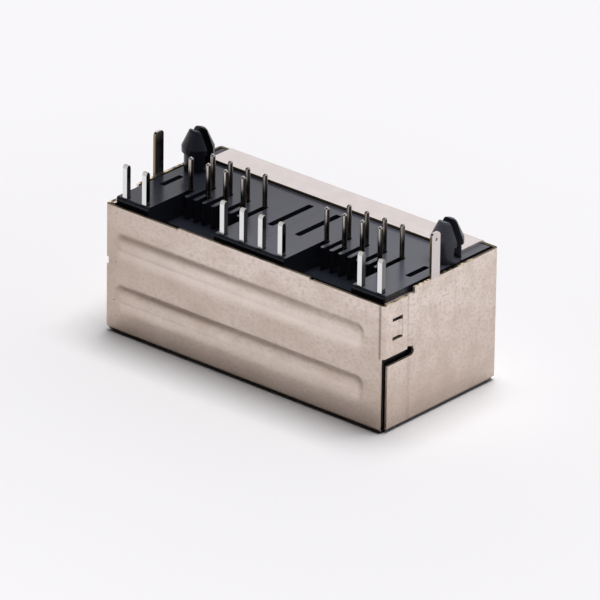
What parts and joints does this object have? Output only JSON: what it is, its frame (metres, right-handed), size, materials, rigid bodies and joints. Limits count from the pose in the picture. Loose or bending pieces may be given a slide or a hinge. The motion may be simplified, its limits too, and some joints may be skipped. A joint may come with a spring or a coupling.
{
  "type": "dual ethernet jack",
  "caption": "Shielded through-hole ethernet jack with side-by-side plug sockets, signal lamps, solder pins and snap-in board posts.",
  "frame": {"origin": "middle of the jack's footprint, on the outer face of the flat top cover that it lies on", "axes": "+X along the width, +Y towards the port face, +Z towards the circuit board, which is up as pictured"},
  "size_m": [0.0324, 0.0154, 0.0171],
  "materials": {
    "plated_sheet": "satin nickel plating on thin stamped sheet, slightly warm, with fine handling marks",
    "black_moulding": "black glass-filled thermoplastic, fine matte texture",
    "contact_wire": "bright tin-plated pin, gold-plated spring",
    "lamp_resin": "clear to milky epoxy resin, glossy",
    "tinned_lead": "bright tin-plated steel lead"
  },
  "bodies": {
    "root": {"shield": "plated_sheet", "housing": "black_moulding", "contact_p1_1": "contact_wire", "contact_p1_2": "contact_wire", "contact_p1_3": "contact_wire", "contact_p1_4": "contact_wire", "contact_p1_5": "contact_wire", "contact_p1_6": "contact_wire", "contact_p1_7": "contact_wire", "contact_p1_8": "contact_wire", "contact_p2_1": "contact_wire", "contact_p2_2": "contact_wire", "contact_p2_3": "contact_wire", "contact_p2_4": "contact_wire", "contact_p2_5": "contact_wire", "contact_p2_6": "contact_wire", "contact_p2_7": "contact_wire", "contact_p2_8": "contact_wire", "lamp_p1_a": "lamp_resin", "lamp_p1_b": "lamp_resin", "lamp_p2_a": "lamp_resin", "lamp_p2_b": "lamp_resin", "lead_p1_1": "tinned_lead", "lead_p1_2": "tinned_lead", "lead_p1_3": "tinned_lead", "lead_p1_4": "tinned_lead", "lead_p2_1": "tinned_lead", "lead_p2_2": "tinned_lead", "lead_p2_3": "tinned_lead", "lead_p2_4": "tinned_lead"}
  },
  "joints": []
}
